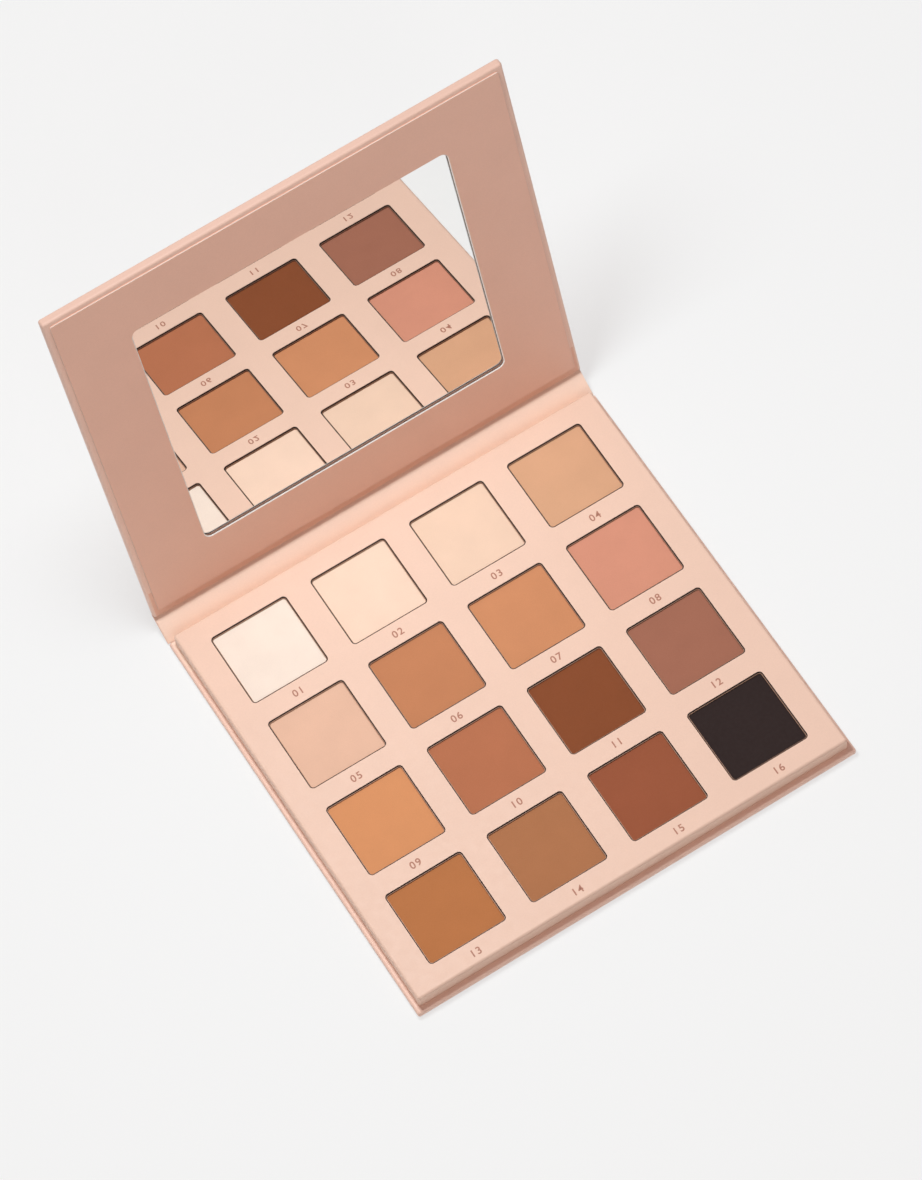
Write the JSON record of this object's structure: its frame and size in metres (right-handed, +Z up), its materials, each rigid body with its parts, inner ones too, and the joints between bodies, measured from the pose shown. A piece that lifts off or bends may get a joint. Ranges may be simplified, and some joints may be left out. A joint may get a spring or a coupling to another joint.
{
  "type": "eyeshadow palette",
  "caption": "Book-style card eyeshadow palette: pressed shades in square metal pans in a windowed tray, and a folding spine with a mirrored lid.",
  "frame": {"origin": "centre of the base's flat underside", "axes": "+X along the hinge, +Y towards the hinge side at the rear, +Z up from the table to the pans"},
  "size_m": [0.154, 0.1807, 0.1532],
  "materials": {
    "wrap_paper": "matt laminated paper",
    "lining_paper": "matt paper",
    "greyboard": "raw greyboard",
    "printed_card": "matt printed card",
    "pan_tin": "bright tinplate",
    "glue": "clear glue",
    "magnet": "nickel plated",
    "mirror": "silvered glass",
    "shade_01": "matte pressed powder, ivory",
    "shade_02": "matte pressed powder, cream",
    "shade_03": "matte pressed powder, pale nude",
    "shade_04": "matte pressed powder, sand",
    "shade_05": "matte pressed powder, pink beige",
    "shade_06": "matte pressed powder, caramel",
    "shade_07": "matte pressed powder, orange tan",
    "shade_08": "matte pressed powder, dusty pink",
    "shade_09": "matte pressed powder, amber tan",
    "shade_10": "matte pressed powder, rose brown",
    "shade_11": "matte pressed powder, chocolate rust",
    "shade_12": "matte pressed powder, mauve brown",
    "shade_13": "matte pressed powder, golden caramel",
    "shade_14": "matte pressed powder, olive taupe",
    "shade_15": "matte pressed powder, red brown",
    "shade_16": "matte pressed powder, soft black"
  },
  "bodies": {
    "base": {"base_wrap": "wrap_paper", "base_board": "greyboard", "base_lining": "lining_paper", "base_liner": "lining_paper", "tray_card": "printed_card", "tray_core": "greyboard", "tray_floor": "greyboard", "pan_glue": "glue", "tray_magnets": "magnet", "lower_hinge_strip": "wrap_paper", "pan_01": "pan_tin", "pan_02": "pan_tin", "pan_03": "pan_tin", "pan_04": "pan_tin", "pan_05": "pan_tin", "pan_06": "pan_tin", "pan_07": "pan_tin", "pan_08": "pan_tin", "pan_09": "pan_tin", "pan_10": "pan_tin", "pan_11": "pan_tin", "pan_12": "pan_tin", "pan_13": "pan_tin", "pan_14": "pan_tin", "pan_15": "pan_tin", "pan_16": "pan_tin", "shade_01": "shade_01", "shade_02": "shade_02", "shade_03": "shade_03", "shade_04": "shade_04", "shade_05": "shade_05", "shade_06": "shade_06", "shade_07": "shade_07", "shade_08": "shade_08", "shade_09": "shade_09", "shade_10": "shade_10", "shade_11": "shade_11", "shade_12": "shade_12", "shade_13": "shade_13", "shade_14": "shade_14", "shade_15": "shade_15", "shade_16": "shade_16"},
    "spine": {"spine_wrap": "wrap_paper", "spine_board": "greyboard", "spine_lining": "lining_paper"},
    "lid": {"lid_wrap": "wrap_paper", "lid_cover_board": "greyboard", "lid_frame_board": "greyboard", "lid_lining": "lining_paper", "lid_liner": "printed_card", "mirror_glass": "mirror", "mirror_tape": "glue", "lid_magnets": "magnet", "upper_hinge_strip": "wrap_paper"}
  },
  "joints": [
    {"name": "spine_hinge", "type": "hinge", "parent": "base", "child": "spine", "pos_m": [0, 0.0746, 0.00007], "axis": [1, 0, 0], "range_deg": [-36.4, 53.6], "deforming": ["lower_hinge_strip"]},
    {"name": "lid_hinge", "type": "hinge", "parent": "spine", "child": "lid", "pos_m": [0, 0.08353, 0.00666], "axis": [1, 0, 0], "range_deg": [-44.4, 45.6], "deforming": ["upper_hinge_strip"]}
  ]
}
